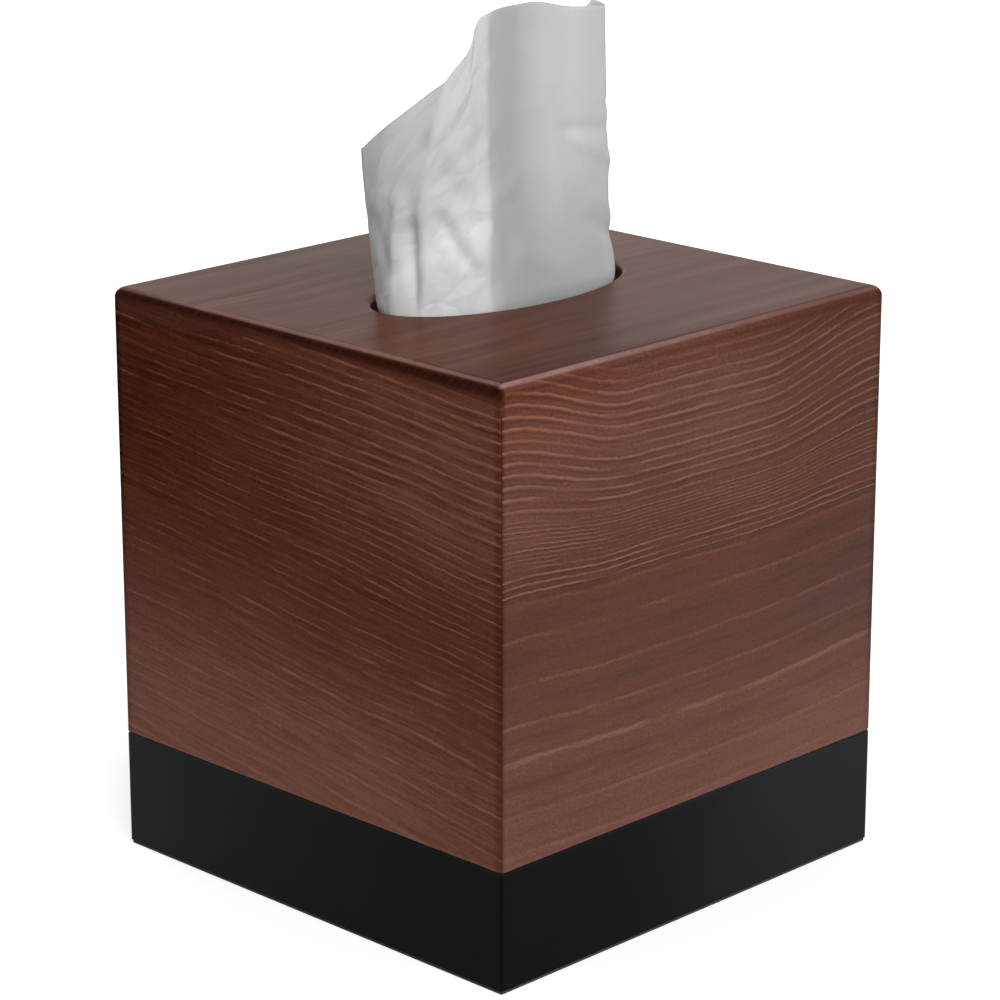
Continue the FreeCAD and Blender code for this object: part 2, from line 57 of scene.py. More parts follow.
class Reading:
    """A value read at each point of a surface. Sums and products of readings are nodes too."""

    def __init__(self, finish, socket):
        self.finish = finish
        self.socket = socket

    def __add__(self, other):
        return self.finish.sum_of("ADD", self, other)

    def __sub__(self, other):
        return self.finish.sum_of("SUBTRACT", self, other)

    def __rsub__(self, other):
        return self.finish.sum_of("SUBTRACT", other, self)

    def __mul__(self, other):
        return self.finish.sum_of("MULTIPLY", self, other)

    __radd__ = __add__
    __rmul__ = __mul__

    def size(self):
        return self.finish.sum_of("ABSOLUTE", self)

    def whole(self):
        return self.finish.sum_of("FLOOR", self)

    def part(self):
        return self.finish.sum_of("FRACT", self)

    def between(self, low, high, low_value=0.0, high_value=1.0, soft=True):
        """Goes from low_value to high_value as the reading goes from low to high."""
        return self.finish.node(
            "MapRange",
            {"Value": self, "From Min": low, "From Max": high,
             "To Min": low_value, "To Max": high_value},
            interpolation_type="SMOOTHSTEP" if soft else "LINEAR")


class Finish:
    """A material with the readings and nodes that colour it."""

    def __init__(self, name):
        self.material = bpy.data.materials.new(name)
        self.material.use_nodes = True
        self.tree = self.material.node_tree
        self.surface = self.tree.nodes["Principled BSDF"]

    def feed(self, socket, source):
        if isinstance(source, Reading):
            self.tree.links.new(source.socket, socket)
        else:
            socket.default_value = source

    def node(self, kind, feeds, output=0, **settings):
        made = self.tree.nodes.new("ShaderNode" + kind)
        for name, setting in settings.items():
            setattr(made, name, setting)
        for socket, source in feeds.items():
            self.feed(made.inputs[socket], source)
        return Reading(self, made.outputs[output])

    def sum_of(self, operation, *terms):
        return self.node("Math", dict(enumerate(terms)), operation=operation)

    def place(self):
        """X, Y and Z of the surface in millimetres."""
        metres = self.node("TexCoord", {}, "Object")
        scaled = self.node("VectorMath", {0: metres, "Scale": PER_METRE}, operation="SCALE")
        return [self.node("SeparateXYZ", {0: scaled}, axis) for axis in "XYZ"]

    def point(self, x, y, z):
        return self.node("CombineXYZ", {"X": x, "Y": y, "Z": z})

    def noise(self, point, scale=1.0, detail=2.0, roughness=0.5):
        """Soft noise about zero, from -0.5 to 0.5."""
        return self.node("TexNoise", {"Vector": point, "Scale": scale, "Detail": detail,
                                      "Roughness": roughness}) - 0.5

    def chance(self, count):
        """One number from 0 to 1 for each whole count."""
        return self.node("TexWhiteNoise", {"W": count}, noise_dimensions="1D")

    def ramp(self, reading, *stops):
        """A colour, or a grey if the stops are numbers, read off stops of (place, colour)."""
        made = self.node("ValToRGB", {0: reading})
        ramp = made.socket.node.color_ramp
        while len(ramp.elements) < len(stops):
            ramp.elements.new(1)
        for element, (place, colour) in zip(ramp.elements, stops):
            element.position = place
            grey = isinstance(colour, (int, float))
            element.color = (*([colour] * 3 if grey else colour), 1)
        return made

    def mix(self, share, first, second):
        feeds = {0: share, 6: first, 7: second}
        feeds = {i: (*s, 1) if isinstance(s, tuple) else s for i, s in feeds.items()}
        return self.node("Mix", feeds, 2, data_type="RGBA")

    def bump(self, height, distance, strength=1.0):
        """A relief this many millimetres deep for each unit of height."""
        normal = self.node("Bump", {"Strength": strength, "Distance": distance * MM,
                                    "Height": height})
        self.set(Normal=normal)

    def set(self, **sockets):
        for name, source in sockets.items():
            self.feed(self.surface.inputs[name.replace("_", " ")], source)


def dress(node, finish):
    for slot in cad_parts[node].material_slots:
        slot.material = finish.material


# Stained wood. Each board has lines of late wood that run along it, bend a little and change
# their spacing down its face, over fine fibres, pores and a cloudy stain. A board's look says:
# - seed: which of the random patterns it has
# - fan, fan_middle, tilt: how the lines draw together about one depth, and how they slope
# - sag, sway, waver: how far the lines hang in the middle, high and low, and how they wander
# - spacings, thinning: runs of (start, end, spacing) down the board, and how thin the lines are
# - pale, dark, dash, breaks, boldness: how strong the lines are and how they break into dashes
# - fibre, speck: how strong the fine texture is
# - corners, shade: how far the painted shade along the vertical corners reaches from each end, and
#   how deep the painted shade is at the top, under the top panel's edge
# - sheen: how glossy it is, high and low
# - tone, flame: how pale the stain is over the board, partly uneven stain and partly painted light
#   that makes it paler low down, and where the lines glow orange

# The deepest stain; also the colour of painted shade.
DEEP_STAIN_AND_SHADE = (0.026, 0.0055, 0.0025)
STAIN = (0.118, 0.034, 0.018)
PALE_STAIN = (0.225, 0.100, 0.068)
FLAME = (0.30, 0.105, 0.046)
# The colour of the painted highlight on the top panel's rounded edge.
EDGE_HIGHLIGHT = (0.34, 0.200, 0.185)
# How far from the two ends of a board its lines bend down, in millimetres.
SAG_REACH = (43, 45)


def stain(finish, tone):
    """The colour of the stain: deep at 0, plain at 0.42, thin over late wood at 0.85."""
    return finish.ramp(tone, (0.0, DEEP_STAIN_AND_SHADE), (0.42, STAIN), (0.85, PALE_STAIN))


def ring_count(depth, spacings):
    """Counts the lines from the top down to this depth, for runs of (start, end, spacing)."""
    count = 0.0
    for start, end, spacing in spacings:
        count = depth.between(start, end, 0.0, (end - start) / spacing, soft=False) + count
    return count


def grained(finish, run, down, through, look):
    """Colour, roughness and relief of a board, from readings along, down and through it."""
    seed = look["seed"]
    left = run + HALF_WIDTH
    # The lines draw together towards one end, and the upper ones sag between the two ends.
    fan = left * (look["fan"] / WIDTH) + 1
    depth = (down - look["fan_middle"]) * fan + look["fan_middle"] - left * look["tilt"]
    sag = left.between(0, SAG_REACH[0]) * left.between(WIDTH, WIDTH - SAG_REACH[1])
    depth = depth - sag * down.between(18, 56, *look["sag"])
    sway = finish.noise(finish.point(run * 0.016, down * 0.03, seed), detail=1)
    waver = finish.noise(finish.point(run * 0.075, down * 0.16, seed + 7), detail=2)
    jitter = finish.noise(finish.point(run * 0.45, down * 0.7, seed + 9), detail=1)
    depth = depth + sway * look["sway"] + waver * look["waver"] + jitter * 0.5
    count = ring_count(depth, look["spacings"])
    ring = finish.chance(count.whole() + seed)
    phase = count.part()
    sharp = phase * look["thinning"](depth)
    pale_line = finish.ramp(sharp, (0.02, 0.0), (0.14, 1.0), (0.28, 0.75), (0.46, 0.0))
    dark_line = finish.ramp(phase, (0.32, 0.0), (0.48, 1.0), (0.72, 0.15), (0.98, 0.60))
    # Each line has its own strength, fades in and out along the board and breaks into dashes.
    lasting = finish.noise(finish.point(run * look["dash"], depth * 0.42, seed + 3), detail=2)
    strength = ring.between(0, 1, 0.45, 1.2) * lasting.between(*look["breaks"])
    speck = finish.noise(finish.point(run * 0.9, down * 1.7, seed + 5), detail=3, roughness=0.7)
    strength = strength * look["boldness"](left, depth) * (speck * 1.4 + 1)
    # The lines fade out before the rounded edge of the top panel.
    strength = strength * (down + waver * 3).between(1.2, 4.5)
    fibre = finish.noise(finish.point(run * 0.06, depth * 1.5, through), detail=4, roughness=0.7)
    fine = finish.noise(finish.point(run * 0.22, depth * 3.4, through * 2), detail=2)
    pores = fine.between(0.08, 0.24)
    cloud = finish.noise(finish.point(run * 0.02, down * 0.03, seed + 11), detail=3)
    tone = (pale_line * look["pale"] - dark_line * look["dark"]) * strength
    tone = tone + (fibre + fine * 0.4 - pores * 0.25) * look["fibre"]
    tone = tone + speck * look["speck"] + cloud * 0.22 + look["tone"](left, down)
    # The lower edge is painted paler, a painted highlight; along the vertical corners and just
    # under the top panel the wood is painted darker, as painted shade.
    foot = TOP - BAND
    foot_highlight = down.between(foot - 1.3, foot - 0.3)
    near, far = look["corners"]
    corner = left.between(near, 0.4) + left.between(WIDTH - far, WIDTH - 0.4)
    tone = tone + foot_highlight * 0.12 - corner * 0.20 - down.between(14, 7) * look["shade"]
    colour = stain(finish, tone)
    colour = finish.mix(look["flame"](left, down) * pale_line, colour, FLAME)
    roughness = fine * -0.12 + pores * 0.1 + 0.44
    return colour, roughness, pale_line * strength * 0.6 + fibre * 0.9 - pores * 0.6


def stained_wood(name, along, look):
    """along gives the readings along, down and through the board, all in millimetres."""
    finish = Finish(name)
    run, down, through = along(*finish.place())
    colour, roughness, relief = grained(finish, run, down, through, look)
    # Glue in the mitre shows as a dark hairline.
    mitre = (run.size() - through).size().between(0.22, 0.08)
    colour = finish.mix(mitre, colour, DEEP_STAIN_AND_SHADE)
    finish.set(Base_Color=colour, Roughness=roughness,
               Specular_IOR_Level=down.between(35, 100, *look["sheen"]))
    finish.bump(relief, 0.06, 0.7)
    return finish


FRONT_LOOK = {
    "seed": 3.0, "fan": 0.03, "fan_middle": 43.0, "tilt": 0.008, "sag": (9.0, 2.0),
    "sway": 1.8, "waver": 1.0,
    "spacings": ((-12, 32, 2.75), (32, 43.5, 1.15), (43.5, 51, 1.9), (51, 59, 8.0), (59, 70, 11.0),
                 (70, 80, 10.0), (80, 88, 8.0), (88, 102, 14.0), (102, 111, 9.0),
                 (111, 125, 14.0)),
    "thinning": lambda depth: depth.between(28, 33, 1.45, 1.0) + depth.between(49, 54, 0.0, 2.0),
    "pale": 0.60, "dark": 0.28, "dash": 0.055, "breaks": (-0.20, 0.14), "fibre": 0.24,
    "speck": 0.58, "corners": (1.2, 3.2), "sheen": (0.12, 0.20), "shade": 0.02,
    "boldness": lambda left, depth: (depth.between(-5, 5, 0.4, 1.0)
                                     + depth.between(42, 44.5, 0.0, 0.25)
                                     - depth.between(50, 53, 0.0, 0.70)),
    # The tone is partly painted light: paler near the foot.
    "tone": lambda left, down: (down.between(25, 60, 0.54, 0.32)
                                + down.between(70, 112, 0.0, 0.19)
                                + left.between(60, 120, 0.0, 0.06) * down.between(85, 110)
                                - left.between(60, 120, 0.0, 0.07) * down.between(100, 80)
                                - left.between(70, 120, 0.0, 0.10) * down.between(50, 30)),
    "flame": lambda left, down: left.between(52, 8) * down.between(24, 9) * 0.8,
}
LEFT_LOOK = {
    "seed": 21.0, "fan": -0.06, "fan_middle": 30.0, "tilt": 0.09, "sag": (0.0, 0.0),
    "sway": 4.5, "waver": 0.9,
    "spacings": ((-24, 24, 2.7), (24, 64, 2.1), (64, 130, 3.0)),
    "thinning": lambda depth: 1.6,
    "pale": 0.48, "dark": 0.15, "dash": 0.09, "breaks": (-0.14, 0.18), "fibre": 0.62,
    "speck": 0.42, "corners": (3.0, 3.5), "sheen": (0.0, 0.065), "shade": 0.03,
    "boldness": lambda left, depth: (left.between(10, 120, 0.75, 1.5)
                                     * depth.between(30, 75, 1.0, 0.6)),
    # The tone is partly painted light: paler low down, and darker high at the far end.
    "tone": lambda left, down: (left.between(0, 125, -0.03, 0.36) * down.between(80, 25)
                                - left.between(70, 120, 0.0, 0.06) * down.between(70, 100)
                                + down.between(50, 112, 0.26, 0.63)),
    "flame": lambda left, down: left.between(30, 125) * down.between(70, 15) * 0.4,
}
BACK_LOOK = {
    **FRONT_LOOK,
    "seed": 47.0, "fan": -0.14, "fan_middle": 40.0, "sag": (5.0, 1.0),
    "spacings": ((-8, 30, 3.4), (30, 62, 2.2), (62, 84, 1.3), (84, 130, 6.0)),
    "thinning": lambda depth: depth.between(80, 86, 1.2, 2.4),
    "boldness": lambda left, depth: depth.between(78, 90, 0.95, 0.45),
    "flame": lambda left, down: left.between(90, 125) * down.between(40, 12) * 0.5,
}
RIGHT_LOOK = {
    **LEFT_LOOK,
    "seed": 63.0, "fan": 0.16, "fan_middle": 70.0, "tilt": 0.03, "sag": (-3.0, 0.0),
    "spacings": ((-8, 40, 3.4), (40, 75, 2.0), (75, 130, 4.0)),
    # The tone is painted paler low down, as painted light.
    "tone": lambda left, down: down.between(10, 112, 0.34, 0.50),
}


# How far below the top face the painted shade under its rounded edge lies.
UNDER_EDGE = 2.6


def stained_top(name):
    """The top panel: a smooth face with faint streaks along it, and edges matched to the walls."""
    finish = Finish(name)
    x, y, z = finish.place()
    down = TOP - z
    sway = finish.noise(finish.point(x * 0.018, y * 0.03, 5.0), detail=1)
    depth = y + sway * 6
    fibre = finish.noise(finish.point(x * 0.03, depth * 1.1, z), detail=4, roughness=0.6)
    streak = finish.noise(finish.point(x * 0.010, depth * 0.20, 9.0), detail=3)
    cloud = finish.noise(finish.point(x * 0.02, y * 0.02, 15.0), detail=2)
    fine = finish.noise(finish.point(x * 0.22, depth * 3.4, z), detail=2)
    pores = fine.between(0.12, 0.26)
    face = fibre * 0.50 + streak * 0.62 - pores * 0.12 + cloud * 0.30 + 0.38
    colour = stain(finish, face)
    relief = fibre * 0.35 - pores * 0.3
    # The front and left edges carry on the grain of their walls, and the far two have the same.
    long_share, end_share = (way.size().between(HALF_WIDTH - 1.4, HALF_WIDTH - 0.2)
                             for way in (y, x))
    for share, run, through, look in ((long_share, x, y.size(), FRONT_LOOK),
                                      (end_share, 0 - y, x.size(), LEFT_LOOK)):
        edge_colour, _, edge_relief = grained(finish, run, down, through, look)
        colour = finish.mix(share, colour, edge_colour)
        relief = relief + (edge_relief - relief) * share
    # Towards the front corner the end grain drinks more stain, in slanting strokes.
    slant = y - down * 0.9
    hatch = finish.noise(finish.point(slant * 0.8, down * 0.10, 2.0), detail=3, roughness=0.7)
    end_depth = y.between(20, -62, 3.0, 8.0)
    end_grain = stain(finish, hatch * 0.40 + down.between(2.0, 8.0, 0.03, 0.34))
    colour = finish.mix(down.between(end_depth, 1.5) * end_share, colour, end_grain)
    # The rounded edge gets a painted highlight, stronger on the edges along the grain, with painted
    # shade below it.
    flecks = finish.noise(finish.point(x * 0.16, z * 0.8, 4.0), detail=4, roughness=0.7)
    under_edge_shade = (down - UNDER_EDGE).size().between(0.9, 0.2)
    colour = finish.mix(under_edge_shade * 0.30, colour, DEEP_STAIN_AND_SHADE)
    long_highlight = y.size().between(HALF_WIDTH - 1.9, HALF_WIDTH - 1.3) * down.between(1.3, 0.6)
    long_highlight = long_highlight * x.between(-66, 50, 1.25, 0.45)
    end_highlight = x.size().between(HALF_WIDTH - 1.9, HALF_WIDTH - 1.4) * down.between(0.9, 0.5)
    end_highlight = end_highlight * y.between(60, 35, 0.2, 0.65)
    edge_highlight = finish.sum_of("MAXIMUM", long_highlight, end_highlight) * (flecks * 1.2 + 0.75)
    colour = finish.mix(edge_highlight, colour, EDGE_HIGHLIGHT)
    finish.set(Base_Color=colour, Roughness=fibre * 0.10 + 0.34,
               Specular_IOR_Level=((streak * 0.03 + fibre * 0.03 + x.between(-60, 20, 0.034, 0.057))
                                   * (1 - end_share * 0.7)))
    finish.bump(relief, 0.06, 0.5)
    return finish


def black_paint():
    finish = Finish("black_satin_paint")
    x, y, z = finish.place()
    drag = finish.noise(finish.point((x + y) * 0.05, z * 1.4, x - y), detail=3)
    peel = finish.noise(finish.point(x, y, z), scale=1.1, detail=2)
    cloud = finish.noise(finish.point(x, y, z), scale=0.03, detail=2)
    # Painted highlight: the paint is paler in a thin line along its top edge, at the seam.
    edge = (z - BAND).size().between(0.7, 0.2)
    # The paint is painted paler away from the front left corner, a painted reflection.
    painted_reflection = (x + HALF_WIDTH + (y + HALF_WIDTH) * 0.7).between(15, 125)
    tone = drag * 0.16 + cloud * 0.3 + edge * 0.4 + painted_reflection * 0.80 + 0.13
    colour = finish.ramp(tone, (0.1, (0.0034, 0.0036, 0.0038)), (0.5, (0.0090, 0.0095, 0.0102)),
                         (1.0, (0.0205, 0.0216, 0.0230)))
    finish.set(Base_Color=colour, Roughness=peel * 0.12 + 0.40, Specular_IOR_Level=0.03)
    finish.bump(peel * 0.5 + drag * 0.5, 0.02, 0.5)
    return finish


# Finishes of the pieces inside and underneath

def key_wood():
    finish = Finish("bare_key_wood")
    x, y, z = finish.place()
    grain = finish.noise(finish.point(x * 0.9, y * 0.9, z * 0.05), detail=4, roughness=0.6)
    colour = finish.ramp(grain + 0.5, (0.25, (0.34, 0.20, 0.09)), (0.75, (0.60, 0.42, 0.24)))
    finish.set(Base_Color=colour, Roughness=grain * 0.2 + 0.65, Specular_IOR_Level=0.3)
    finish.bump(grain, 0.05)
    return finish


def floor_board():
    finish = Finish("pressed_floor_board")
    x, y, z = finish.place()
    flecks = finish.noise(finish.point(x * 0.5, y * 0.5, z * 2), detail=5, roughness=0.75)
    cloud = finish.noise(finish.point(x, y, z), scale=0.04, detail=2)
    colour = finish.ramp(flecks + cloud * 0.5 + 0.5, (0.25, (0.13, 0.072, 0.036)),
                         (0.55, (0.27, 0.165, 0.085)), (0.85, (0.42, 0.29, 0.17)))
    finish.set(Base_Color=colour, Roughness=flecks * 0.2 + 0.62, Specular_IOR_Level=0.3)
    finish.bump(flecks, 0.06)
    return finish


def brad_steel():
    finish = Finish("bright_brad_steel")
    x, y, z = finish.place()
    drawn = finish.noise(finish.point(x * 9, y * 9, z * 0.6), detail=3)
    colour = finish.ramp(drawn + 0.5, (0.2, (0.42, 0.42, 0.43)), (0.8, (0.66, 0.66, 0.67)))
    finish.set(Base_Color=colour, Metallic=1.0, Roughness=drawn * 0.2 + 0.34)
    finish.bump(drawn, 0.01)
    return finish


def felt():
    finish = Finish("pressed_felt")
    x, y, z = finish.place()
    hairs = finish.noise(finish.point(x, y, z), scale=2.2, detail=5, roughness=0.8)
    cloud = finish.noise(finish.point(x, y, z), scale=0.08, detail=3)
    colour = finish.ramp(hairs + cloud * 0.4 + 0.5, (0.25, (0.008, 0.008, 0.009)),
                         (0.8, (0.045, 0.045, 0.047)))
    finish.set(Base_Color=colour, Roughness=0.95, Specular_IOR_Level=0.1, Sheen_Weight=0.4)
    finish.bump(hairs, 0.25)
    return finish


def carton_board():
    finish = Finish("coated_carton_board")
    x, y, z = finish.place()
    fibres = finish.noise(finish.point(x, y, z), scale=0.6, detail=4, roughness=0.7)
    cloud = finish.noise(finish.point(x, y, z), scale=0.025, detail=2)
    # The folded edges of the board are scuffed to its grey core.
    corner = finish.sum_of("MINIMUM", x.size(), y.size()).between(52.6, 53.8)
    scuff = corner * fibres.between(-0.1, 0.3)
    tone = fibres * 0.16 + cloud * 0.3 - scuff * 0.5 + 0.6
    colour = finish.ramp(tone, (0.1, (0.42, 0.40, 0.37)), (0.5, (0.70, 0.70, 0.68)),
                         (0.8, (0.80, 0.80, 0.79)))
    finish.set(Base_Color=colour, Roughness=fibres * 0.15 + 0.48, Specular_IOR_Level=0.4)
    finish.bump(fibres, 0.03)
    return finish


def clear_film():
    finish = Finish("clear_film")
    x, y, z = finish.place()
    ripple = finish.noise(finish.point(x * 0.05, y * 0.12, z), detail=3)
    haze = finish.noise(finish.point(x, y, z), scale=0.3, detail=3)
    finish.set(Base_Color=(0.93, 0.95, 0.96, 1), Alpha=haze * 0.12 + 0.30,
               Roughness=haze * 0.08 + 0.12, IOR=1.45)
    finish.bump(ripple, 0.4)
    return finish


def tissue_paper(name, flat):
    """Soft creped paper: fine ripples over a web of fibres.

    flat is the width in millimetres of a sheet with a UV map, and None for the folded pack.
    """
    finish = Finish(name)
    if flat:
        uv = finish.node("TexCoord", {}, "UV")
        across = finish.node("SeparateXYZ", {0: uv}, "X") * flat
        upward = finish.node("SeparateXYZ", {0: uv}, "Y") * flat
        through = 0.0
    else:
        across, upward, through = finish.place()
    spot = finish.point(across, upward, through)
    crepe = finish.noise(finish.point(across * 0.35, upward * 2.6, through), detail=3,
                         roughness=0.6)
    fibres = finish.noise(spot, scale=1.1, detail=4, roughness=0.7)
    cloud = finish.noise(spot, scale=0.06, detail=2)
    tone = fibres * 0.18 + cloud * 0.30 + crepe * 0.10 + 0.5
    relief = crepe * 0.036 + fibres * 0.042
    if flat:
        # The leg and the panel beside it are crumpled into small facets, the right end a little.
        bent = finish.noise(spot, scale=0.07, detail=2) * 0.9
        place = finish.point(across * 0.11 + bent, upward * 0.07 + bent, 0.0)
        facets = finish.node("TexVoronoi", {"Vector": place, "Scale": 1.0},
                             feature="DISTANCE_TO_EDGE", voronoi_dimensions="2D")
        crumpled = across.between(46, 30) + across.between(80, 92, 0.0, 0.6)
        relief = relief + facets * crumpled * 1.3
        # The paper is painted whiter low on the left and at the right end, as painted light, and
        # greyer in the trough, as painted shade.
        painted_light = across.between(40, 32) * upward.between(160, 130) + across.between(74, 84) * 0.5
        trough_shade = across.between(33, 40) * across.between(72, 48)
        tone = tone + painted_light * 0.62 - trough_shade * 0.36
    colour = finish.ramp(tone, (0.0, (0.515, 0.530, 0.540)), (0.5, (0.640, 0.658, 0.670)),
                         (0.8, (0.745, 0.762, 0.775)), (1.0, (0.875, 0.890, 0.902)))
    finish.set(Base_Color=colour, Roughness=fibres * 0.1 + 0.86, Specular_IOR_Level=0.2,
               Sheen_Weight=0.08, Subsurface_Weight=0.12, Subsurface_Scale=0.4 * MM)
    finish.bump(relief, 1.0, 0.6)
    return finish


# The tissue in the slot. Its plan at several heights, much as the solid's: from the free left edge
# along a leg to the crease, over the front with a ridge and a trough to the right end, and round
# there into two more layers behind, up to the other edge. The points are shares of half the slit,
# for the tail, or of half the slot, for the rows above it.

FRONT_HEIGHTS = (TOP, 165.9, 182.9, 200.0, 217.0)
FRONT_PLANS = (
    ((-0.86, 0.41), (-0.935, 0.03), (-0.857, -0.365), (-0.68, -0.60), (-0.49, -0.76),
     (-0.28, -0.78), (-0.08, -0.74), (0.50, -0.58), (0.875, -0.33)),
    ((-0.90, 0.475), (-0.94, 0.06), (-0.888, -0.355), (-0.71, -0.61), (-0.52, -0.80),
     (-0.30, -0.71), (-0.07, -0.61), (0.47, -0.62), (0.83, -0.34)),
    ((-0.92, 0.54), (-0.935, 0.015), (-0.87, -0.51), (-0.71, -0.67), (-0.54, -0.80),
     (-0.295, -0.63), (-0.05, -0.46), (0.45, -0.61), (0.80, -0.34)),
    ((-0.90, 0.50), (-0.896, -0.065), (-0.79, -0.63), (-0.665, -0.73), (-0.53, -0.80),
     (-0.29, -0.61), (-0.05, -0.42), (0.44, -0.60), (0.775, -0.33)),
    ((-0.86, 0.42), (-0.86, -0.12), (-0.68, -0.70), (-0.60, -0.755), (-0.52, -0.79),
     (-0.285, -0.60), (-0.05, -0.41), (0.43, -0.60), (0.75, -0.33)),
)
# The layers behind, at the slot and at the top.
LAYER_PLANS = (
    ((0.87, -0.13), (0.72, -0.10), (0.10, -0.36), (-0.50, -0.30), (-0.585, -0.11), (-0.50, 0.08),
     (0.10, 0.14), (0.66, 0.14)),
    ((0.745, -0.15), (0.60, -0.08), (0.08, -0.16), (-0.42, -0.13), (-0.50, 0.02), (-0.42, 0.17),
     (0.10, 0.24), (0.58, 0.22)),
)
TAIL_PLAN = (
    (-0.40, 0.58), (-0.64, 0.36), (-0.82, 0.00), (-0.52, -0.46), (-0.20, -0.66), (-0.08, -0.68),
    (0.05, -0.68), (0.45, -0.52), (0.78, -0.15), (0.79, -0.02), (0.78, 0.11), (0.10, -0.22),
    (-0.44, -0.20), (-0.451, -0.05), (-0.44, 0.10), (0.10, 0.24), (0.66, 0.36),
)
# Which points lie on a pressed crease, and how tight it is in millimetres.
CREASES = {2: 0.9, 4: 1.6}
# The sheet stands straight for this depth below the top, and its bends are eased over this height.
RIM_DEPTH = 5
EASING = 4.5
EASING_STEPS = 18
# How high the sheet reaches, from its hanging free corner to the level edge at the right: places
# along the diagonal from the back left corner to the front right one, and heights, in millimetres.
TOP_EDGE = ((-32.0, 183.5), (-21.5, 195.0), (-14.8, 202.0), (-10.5, 207.4), (-8.8, 210.0),
            (-5.0, 215.9), (-3.2, 216.9), (8.0, 215.9), (26.0, 212.8))
# Past this place along the sheet, over this length, the layers behind end lower by this much.
BEHIND_FROM, BEHIND_OVER, BEHIND_LOWER = 90, 12, 10
# The plan is drawn at this many heights, from just above the folded pack to above the highest edge.
PLAN_FOOT, PLAN_HEAD, PLAN_STEPS = STACK_TOP + 0.3, 218, 420
# Heights at which distances along the sheet are measured, and at which its upper edge is read.
MEASURED_AT, EDGE_READ_AT = TOP + 6, 192
# The pressed folds reach their full depth this far above the slot.
FOLDS_GROW = 10
# How far the sheet may reach, in shares of the slot, at two heights.
ROOM_HEIGHTS, ROOM_SHARES = (TOP + 1, TOP + 16), (0.962, 1.12)
PLIES = 0.16
# The tissue laid flat, in metres, along the plan and upwards.
SHEET_FLAT = (0.200, 0.190)
SHEET_COLUMNS, SHEET_ROWS = 260, 150


def plan_at(heights):
    """The sheet's plan points at each height, an array of heights by points by X and Y."""
    rows = []
    for share, front in zip(np.linspace(0, 1, len(FRONT_PLANS)), FRONT_PLANS):
        layers = np.array(LAYER_PLANS[0]) * (1 - share) + np.array(LAYER_PLANS[1]) * share
        rows.append(np.concatenate([front, layers]) * HALF_SLOT)
    tail = np.array(TAIL_PLAN) * HALF_SLIT
    # The sheet stands straight through the slot's rim.
    known = [STACK_TOP, FILM, TOP - RIM_DEPTH, *FRONT_HEIGHTS]
    rows = np.array([tail, tail, rows[0], *rows])
    flat = rows.reshape(len(known), -1)
    drawn = np.array([np.interp(heights, known, column) for column in flat.T]).T
    # The bends between the rows are eased over a few millimetres.
    step = heights[1] - heights[0]
    offsets = np.arange(-EASING_STEPS, EASING_STEPS + 1) * step
    weights = np.exp(-(offsets / EASING) ** 2 / 2)
    padded = np.pad(drawn, ((EASING_STEPS, EASING_STEPS), (0, 0)), mode="edge")
    eased = np.array([np.convolve(column, weights / weights.sum(), "valid")
                      for column in padded.T]).T
    eased = eased.reshape(len(heights), -1, 2)
    # A crease gets a near neighbour on each side, so that the sheet turns sharply there.
    points = []
    for i in range(eased.shape[1]):
        here = eased[:, i]
        if i in CREASES:
            before, after = ((eased[:, j] - here) for j in (i - 1, i + 1))
            before, after = (way / np.linalg.norm(way, axis=1, keepdims=True) * CREASES[i]
                             for way in (before, after))
            points += [here + before, here, here + after]
        else:
            points.append(here)
    return np.stack(points, axis=1)


def smooth_through(points, places, wanted):
    """A cubic through the points, natural at its ends, read at the wanted places."""
    count = len(places)
    gaps = np.diff(places)
    system = np.eye(count)
    right = np.zeros((count, points.shape[1]))
    for i in range(1, count - 1):
        system[i, i - 1:i + 2] = gaps[i - 1], 2 * (gaps[i - 1] + gaps[i]), gaps[i]
        right[i] = 6 * ((points[i + 1] - points[i]) / gaps[i]
                        - (points[i] - points[i - 1]) / gaps[i - 1])
    bend = np.linalg.solve(system, right)
    i = np.clip(np.searchsorted(places, wanted) - 1, 0, count - 2)
    gap = gaps[i][:, None]
    after = (wanted - places[i])[:, None]
    before = gap - after
    return ((bend[i] * before ** 3 + bend[i + 1] * after ** 3) / (6 * gap)
            + (points[i] / gap - bend[i] * gap / 6) * before
            + (points[i + 1] / gap - bend[i + 1] * gap / 6) * after)


# Folds pressed into the sheet: where each starts and ends, in millimetres along the sheet from its
# free left edge and above the table, how far it stands out and how wide it is.
PRESSED_FOLDS = (
    (11.0, 172, 9.0, 146, 1.1, 3.0), (14.8, 166, 15.2, 146, -1.7, 2.6),
    (19, 172, 18, 148, 0.9, 3.5), (21.5, 168, 27.2, 159, -1.1, 2.6),
    (24, 171, 30, 160, 0.9, 3.0), (19, 188, 28, 178, 0.8, 4.0),
    (18, 192, 25, 200, 0.7, 4.0), (22, 180, 31, 187, -0.6, 3.6),
    (36, 151, 37, 146, -1.0, 3.5), (66, 184.5, 82, 182.5, -0.5, 2.2),
    (70, 181, 84, 174, 0.6, 3.0), (80, 189, 90, 189, -0.4, 1.6),
    (76, 166, 83, 160, 0.5, 3.0), (74, 160, 83, 155, -0.5, 3.0),
    (62, 150, 48, 156, 0.5, 5.0), (5, 172, 13, 181, 0.7, 4.0),
    (4, 165, 10, 155, -0.6, 4.0), (60, 205, 63, 168, 0.35, 4.5),
)
# Small crumples all over the sheet: how many, between which corners, and how far they stand out up
# to each place along it. The leg and the panel beside it are crumpled most, the front least.
CRUMPLES = 130
CRUMPLE_FIELD = ((0, 140), (205, 215))
CRUMPLE_SPREAD = ((36, 0.45), (96, 0.12), (math.inf, 0.35))
# Long shallow waves, and how far they stand out.
WAVES, WAVE_RISE = 14, 0.10


